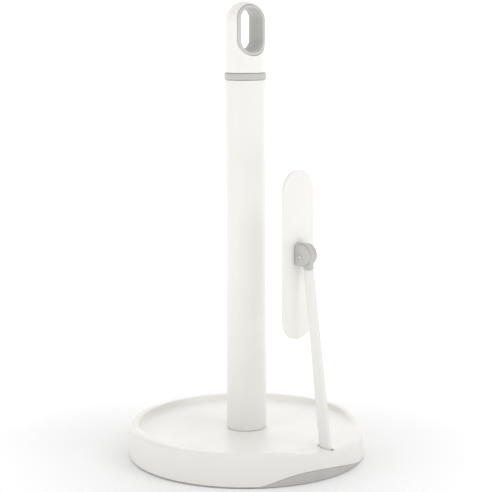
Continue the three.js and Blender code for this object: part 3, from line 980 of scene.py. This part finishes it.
def liner_band():
    """Joins the sections round the stadium into one closed band."""
    low_centre = HOLE_LOW_Z + HOLE_HALF_WIDTH
    high_centre = HOLE_HIGH_Z - HOLE_HALF_WIDTH
    stations = stadium(
        HOLE_HALF_WIDTH - LINER_LAP, HOLE_LOW_Z + LINER_LAP, HOLE_HIGH_Z - LINER_LAP, steps=48
    )
    half_turn = [math.pi * i / RIM_STEPS for i in range(RIM_STEPS + 1)]
    vertices = []
    for station in stations:
        centre = Vector((0, min(max(station.y, low_centre), high_centre)))
        inward = (centre - station).normalized()
        for side in (1, -1):
            for angle in half_turn:
                place = station + inward * LINER_RIM * (1 - side * math.cos(angle))
                surface = depth_of_handle(place.x, place.y, handle_radius + LINER_PROUD)
                depth = surface - LINER_RIM * (1 - math.sin(angle))
                vertices.append((place.x, side * depth, place.y))
    count = 2 * len(half_turn)
    faces = []
    for i in range(len(stations)):
        near = i * count
        far = (i + 1) % len(stations) * count
        faces += [(near + j, far + j, far + (j + 1) % count, near + (j + 1) % count) for j in range(count)]
    return mesh_piece("loop_liner", vertices, faces, grey_tpe)


liner = liner_band()
liner.data.transform(loop_turn)
belongs(liner, "stand", "soft_grey", "handle_liner")

# %% [markdown]
# ## The arm
#
# The arm is a flat bar on edge, a little deeper at its foot than at its top. It is drawn upright
# about the hinge and then leaned, as the CAD has it. Its foot widens into a barrel round the hinge
# pin, which is joined on and then bored.

# %% Draw the arm
ARM_LEAN = math.radians(7.23)
ARM_LENGTH = 148.3 * MM
ARM_HALF_THICKNESS = 1.65 * MM
ARM_TOP_HALF_DEPTH = 3.8 * MM
ARM_FOOT_HALF_DEPTH = 4.6 * MM
ARM_FOOT_HEIGHT = 10 * MM  # above the hinge, where the arm is deepest
BARREL_RADIUS = 4.2 * MM
BARREL_HALF_LENGTH = 4.4 * MM
HINGE_BORE = 3.05 * MM
lean_on_hinge = Matrix.Translation(hinge) @ Matrix.Rotation(-ARM_LEAN, 4, "Y")


def circle(x, y, radius, sides):
    """A closed outline, so its last point stops one side short of the first."""
    return arc(x, y, radius, 0, 360 * (1 - 1 / sides), sides - 1)


def bore(piece, centre, radius):
    """Cuts a round hole along Y."""
    outline = circle(centre[0], centre[1], radius, 48)
    return carve(piece, plate("drill", outline, -20 * MM, 20 * MM, piece.data.materials[0]))


blade_outline = rounded(
    [
        (-4 * MM, 0, 0),
        (4 * MM, 0, 0),
        (ARM_FOOT_HALF_DEPTH, ARM_FOOT_HEIGHT, 4 * MM),
        (ARM_TOP_HALF_DEPTH, ARM_LENGTH, 0.3 * MM),
        (-ARM_TOP_HALF_DEPTH, ARM_LENGTH, 0.3 * MM),
        (-ARM_FOOT_HALF_DEPTH, ARM_FOOT_HEIGHT, 4 * MM),
    ],
    steps=4,
)
blade = plate("arm_bar", blade_outline, -ARM_HALF_THICKNESS, ARM_HALF_THICKNESS, warm_white_abs)
barrel_outline = circle(0, 0, BARREL_RADIUS, 48)
barrel = plate("barrel", barrel_outline, -BARREL_HALF_LENGTH, BARREL_HALF_LENGTH, warm_white_abs)
carve(blade, barrel, "UNION")
bore(blade, (0, 0), HINGE_BORE)
soften(blade, 0.5 * MM, 4)
blade.data.transform(lean_on_hinge)
belongs(blade, "arm", "white_plastic", "arm_blade")

# %% [markdown]
# ## The tongue
#
# The grey tongue continues the bar to the knuckle. It ends in a broad round eye that lies level
# with the ears beside it, and in a small eye round the pin. Both centres are known on the standing
# holder, so they are first turned back into the arm's own frame, where the tongue is drawn.

# %% Draw the tongue
TONGUE_INNER = 3.4 * MM  # from the arm's line to the side nearer the post
TONGUE_OUTER = 3.3 * MM  # and to the other side
EYE_RADIUS = 8.5 * MM
PIN_EYE_RADIUS = 3.2 * MM
PIN_BORE = 1.62 * MM
hub_centre_z = (hub_low.z + hub_high.z) / 2
ear_radius = (hub_high.z - hub_low.z) / 2
ear_centre = (hub_high.x - ear_radius, hub_centre_z)
into_arm = lean_on_hinge.inverted()


def in_arm_frame(x, z):
    """Turns a point of the standing holder into the arm's own frame, across and along it."""
    place = into_arm @ Vector((x, 0, z))
    return Vector((place.x, place.z))


def tongue_outline():
    """A bar up the arm's line, then the broad eye, then the small one on the side of the paddle."""
    eye = in_arm_frame(*ear_centre)
    pin = in_arm_frame(knuckle.x, knuckle.z)
    bottom = ARM_LENGTH + GAP
    joins = -math.degrees(math.acos((TONGUE_OUTER - eye.x) / EYE_RADIUS))
    bar = [Vector((-TONGUE_INNER, bottom)), Vector((TONGUE_OUTER, bottom))]
    outer = arc(eye.x, eye.y, EYE_RADIUS, joins, 87, 24)
    inner = arc(pin.x, pin.y, PIN_EYE_RADIUS, 73, 271, 24)
    return bar + outer + inner


tongue = plate("tongue", tongue_outline(), tongue_low.y, tongue_high.y, light_grey_pp)
bore(tongue, in_arm_frame(knuckle.x, knuckle.z), PIN_BORE)
soften(tongue, 0.3 * MM, 3)
tongue.data.transform(lean_on_hinge)
belongs(tongue, "arm", "grey_plastic", "knuckle_tongue")

# %% [markdown]
# ## The paddle
#
# The paddle is a plate with full-round ends, so that it slides over the paper without catching it.
# Its edge is rounded over more than half of the thickness. Two holes let the hub's studs through.

# %% Shape the paddle
STUD_RADIUS = 1.5 * MM
STUD_HOLE = 1.8 * MM
STUD_SPACING = 10 * MM
stud_heights = (hub_centre_z - STUD_SPACING / 2, hub_centre_z + STUD_SPACING / 2)

paddle_outline = stadium(paddle_high.y, paddle_low.z, paddle_high.z, steps=48)
paddle = plate("paddle", paddle_outline, paddle_low.x, paddle_high.x, warm_white_abs, along="X")
for height in stud_heights:
    hole = circle(0, height, STUD_HOLE, 32)
    drill = plate("stud_hole", hole, paddle_low.x - 9 * MM, paddle_high.x + 9 * MM, warm_white_abs, "X")
    carve(paddle, drill)
soften(paddle, 0.95 * MM, 5)
belongs(paddle, "paddle", "white_plastic", "paddle_plate")

# %% [markdown]
# ## The hub and the knuckle pin
#
# The grey hub is a pair of ears: one rounded block on the paddle's back, with a slot cut into it
# for the tongue. Its two studs, with rounded ends, reach into the plate's holes.
# The pin has a domed head at both ends, where a rivet was closed.

# %% Shape the hub
HUB_CORNER = 1.8 * MM
TONGUE_SLOT_FLOOR = 56.9 * MM
TONGUE_SLOT_END = 90 * MM  # well past the ears
STUD_LENGTH = 3 * MM
STUD_ROUNDING = 0.7 * MM
hub_back = paddle_high.x + GAP

hub_outline = arc(*ear_centre, ear_radius, -90, 90, 36)
hub_outline += arc(hub_back + HUB_CORNER, hub_high.z - HUB_CORNER, HUB_CORNER, 90, 180, 8)
hub_outline += arc(hub_back + HUB_CORNER, hub_low.z + HUB_CORNER, HUB_CORNER, 180, 270, 8)
hub = plate("ears", hub_outline, hub_low.y, hub_high.y, light_grey_pp)
gap_half = tongue_high.y + GAP
gap_outline = [
    (TONGUE_SLOT_FLOOR, -gap_half),
    (TONGUE_SLOT_END, -gap_half),
    (TONGUE_SLOT_END, gap_half),
    (TONGUE_SLOT_FLOOR, gap_half),
]
carve(hub, plate("tongue_slot", gap_outline, hub_low.z - 9 * MM, hub_high.z + 9 * MM, light_grey_pp, "Z"))
bore(hub, (knuckle.x, knuckle.z), PIN_BORE)
soften(hub, 0.45 * MM, 4)
for height in stud_heights:
    stud_section = rounded([
        (0, 0, 0),
        (STUD_RADIUS, 0, 0),
        (STUD_RADIUS, STUD_LENGTH, STUD_ROUNDING),
        (0, STUD_LENGTH, 0),
    ])
    stud = turned("stud", stud_section, light_grey_pp, sides=32)
    stud.data.transform(Matrix.Rotation(-math.pi / 2, 4, "Y"))
    stud.data.transform(Matrix.Translation((hub_back + 0.2 * MM, 0, height)))
    carve(hub, stud, "UNION")
belongs(hub, "paddle", "grey_plastic", "paddle_hub")

# %% Turn the pin
PIN_RADIUS = 1.5 * MM
PIN_HEAD_RADIUS = 1.9 * MM
PIN_DOME = 0.7 * MM  # height of each head
pin_low, pin_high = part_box("knuckle_pin")
pin_shoulder = pin_high.y - PIN_DOME
flatten = PIN_DOME / PIN_HEAD_RADIUS
dome = [Vector((p.x, pin_shoulder + p.y * flatten)) for p in arc(0, 0, PIN_HEAD_RADIUS, 0, 90, 8)]
pin_section = [Vector((p.x, -p.y)) for p in reversed(dome)]
pin_section += [Vector((PIN_RADIUS, -pin_shoulder)), Vector((PIN_RADIUS, pin_shoulder))]
pin_section += dome
pin = turned("domed_pin", pin_section, zinc_steel, sides=40)
pin.data.transform(Matrix.Translation(knuckle) @ Matrix.Rotation(-math.pi / 2, 4, "X"))
belongs(pin, "paddle", "steel", "knuckle_pin")

# %% [markdown]
# ## The camera
#
# A long lens from a little above the table keeps the upright edges nearly parallel. The camera is
# placed by its direction round the post, its distance and its height, and then looks slightly down.

# %% Place the camera
CAMERA_AZIMUTH = math.radians(43)
CAMERA_DISTANCE = 1.161
CAMERA_HEIGHT = 0.3515
CAMERA_DROP = math.radians(8.94)
CAMERA_ROLL = math.radians(-0.24)
camera_data = bpy.data.cameras.new("camera")
camera_data.sensor_width = 36.0
camera_data.lens = 108.8
camera = bpy.data.objects.new("camera", camera_data)
bpy.context.scene.collection.objects.link(camera)
bpy.context.scene.camera = camera
camera.matrix_world = (
    Matrix.Rotation(CAMERA_AZIMUTH, 4, "Z")
    @ Matrix.Translation((0, -CAMERA_DISTANCE, CAMERA_HEIGHT))
    @ Matrix.Rotation(math.pi / 2 - CAMERA_DROP, 4, "X")
    @ Matrix.Rotation(CAMERA_ROLL, 4, "Z")
)
print(f"{camera_data.lens} mm lens, {CAMERA_DISTANCE} m away")

# %% [markdown]
# ## The sweep
#
# The holder stands on a white sweep, a floor that curves up into a wall. Its surface carries painted
# light: it glows, weakly next to the holder and more with the distance from it, so the background stays
# white, and the floor round the base keeps a painted shade that deepens the soft contact shadow.

# %% Build the sweep
# Painted light: the sweep's glow rises from the low strength near the holder to the high one far off.
PAINTED_GLOW_NEAR = 0.1  # metres from the post's foot
PAINTED_GLOW_FAR = 0.6
PAINTED_GLOW_LOW = 0.03
PAINTED_GLOW_HIGH = 0.6
FLOOR_FRONT = -3.0
FLOOR_BACK = 2.5
SWEEP_BEND = 1.5
SWEEP_TOP = 4.0
SWEEP_HALF_WIDTH = 6.0


def sweep_material():
    material, tree, shader = start_material("white_sweep_with_painted_glow")
    shader.inputs["Roughness"].default_value = 0.9
    shader.inputs["Specular IOR Level"].default_value = 0.1
    shader.inputs["Base Color"].default_value = linear("F8F8F8")
    shader.inputs["Emission Color"].default_value = linear("FFFFFF")
    place = add(tree, "ShaderNodeTexCoord")
    away = add(
        tree,
        "ShaderNodeVectorMath",
        settings={"operation": "LENGTH"},
        links={"Vector": place.outputs["Object"]},
    )
    # Painted light and shade: emission that grows with the distance from the holder's foot.
    painted_glow = add(
        tree,
        "ShaderNodeMapRange",
        values={"From Min": PAINTED_GLOW_NEAR, "From Max": PAINTED_GLOW_FAR, "To Min": PAINTED_GLOW_LOW, "To Max": PAINTED_GLOW_HIGH},
        links={"Value": away.outputs["Value"]},
    )
    fleck = add(
        tree,
        "ShaderNodeTexNoise",
        values={"Scale": 1 / (2.5 * MM)},
        links={"Vector": place.outputs["Object"]},
    )
    brushed = bump(tree, fleck, 0.05 * MM, 0.2)
    tree.links.new(painted_glow.outputs["Result"], shader.inputs["Emission Strength"])
    tree.links.new(brushed.outputs["Normal"], shader.inputs["Normal"])
    return material


def sweep():
    """A floor that curves up into a wall behind the holder, seen from the camera."""
    profile = [Vector((FLOOR_FRONT, 0.0)), Vector((FLOOR_BACK, 0.0))]
    profile += arc(FLOOR_BACK, SWEEP_BEND, SWEEP_BEND, -90, 0, 24)[1:]
    profile += [Vector((FLOOR_BACK + SWEEP_BEND, SWEEP_TOP))]
    vertices = []
    for depth, height in profile:
        vertices += [(-SWEEP_HALF_WIDTH, depth, height), (SWEEP_HALF_WIDTH, depth, height)]
    faces = [(2 * i, 2 * i + 1, 2 * i + 3, 2 * i + 2) for i in range(len(profile) - 1)]
    mesh = bpy.data.meshes.new("sweep")
    mesh.from_pydata(vertices, [], faces)
    mesh.transform(Matrix.Rotation(CAMERA_AZIMUTH, 4, "Z"))
    mesh.shade_smooth()
    mesh.materials.append(sweep_material())
    floor = bpy.data.objects.new("sweep", mesh)
    bpy.context.scene.collection.objects.link(floor)


sweep()

# %% [markdown]
# ## The lights
#
# The setting is high key: a large soft light from the upper right, a weaker one from the left, a
# wide one overhead and an even white surround. Nothing casts a hard shadow.

# %% Hang the lights
LIGHT_TARGET = Vector((0, 0, 0.15))


def softbox(name, right, towards, height, size, watts):
    """A square light, placed as the camera sees it: to its right, towards it, and up."""
    data = bpy.data.lights.new(name, "AREA")
    data.size = size
    data.energy = watts
    lamp = bpy.data.objects.new(name, data)
    place = Matrix.Rotation(CAMERA_AZIMUTH, 4, "Z") @ Vector((right, -towards, height))
    aim = (LIGHT_TARGET - place).to_track_quat("-Z", "Y").to_matrix().to_4x4()
    lamp.matrix_world = Matrix.Translation(place) @ aim
    bpy.context.scene.collection.objects.link(lamp)
    print(f"{name}: {watts} W over {size} m")


softbox("key", right=1.3, towards=0.7, height=1.5, size=1.0, watts=7.4)
softbox("fill", right=-1.6, towards=1.0, height=0.9, size=1.4, watts=6)
softbox("overhead", right=0.1, towards=-0.1, height=2.0, size=1.6, watts=4)
world = bpy.data.worlds.new("white surround")
world.use_nodes = True
surround = world.node_tree.nodes["Background"]
surround.inputs["Color"].default_value = linear("FFFFFF")
surround.inputs["Strength"].default_value = 0.575
bpy.context.scene.world = world
bpy.context.scene.view_settings.view_transform = "Standard"
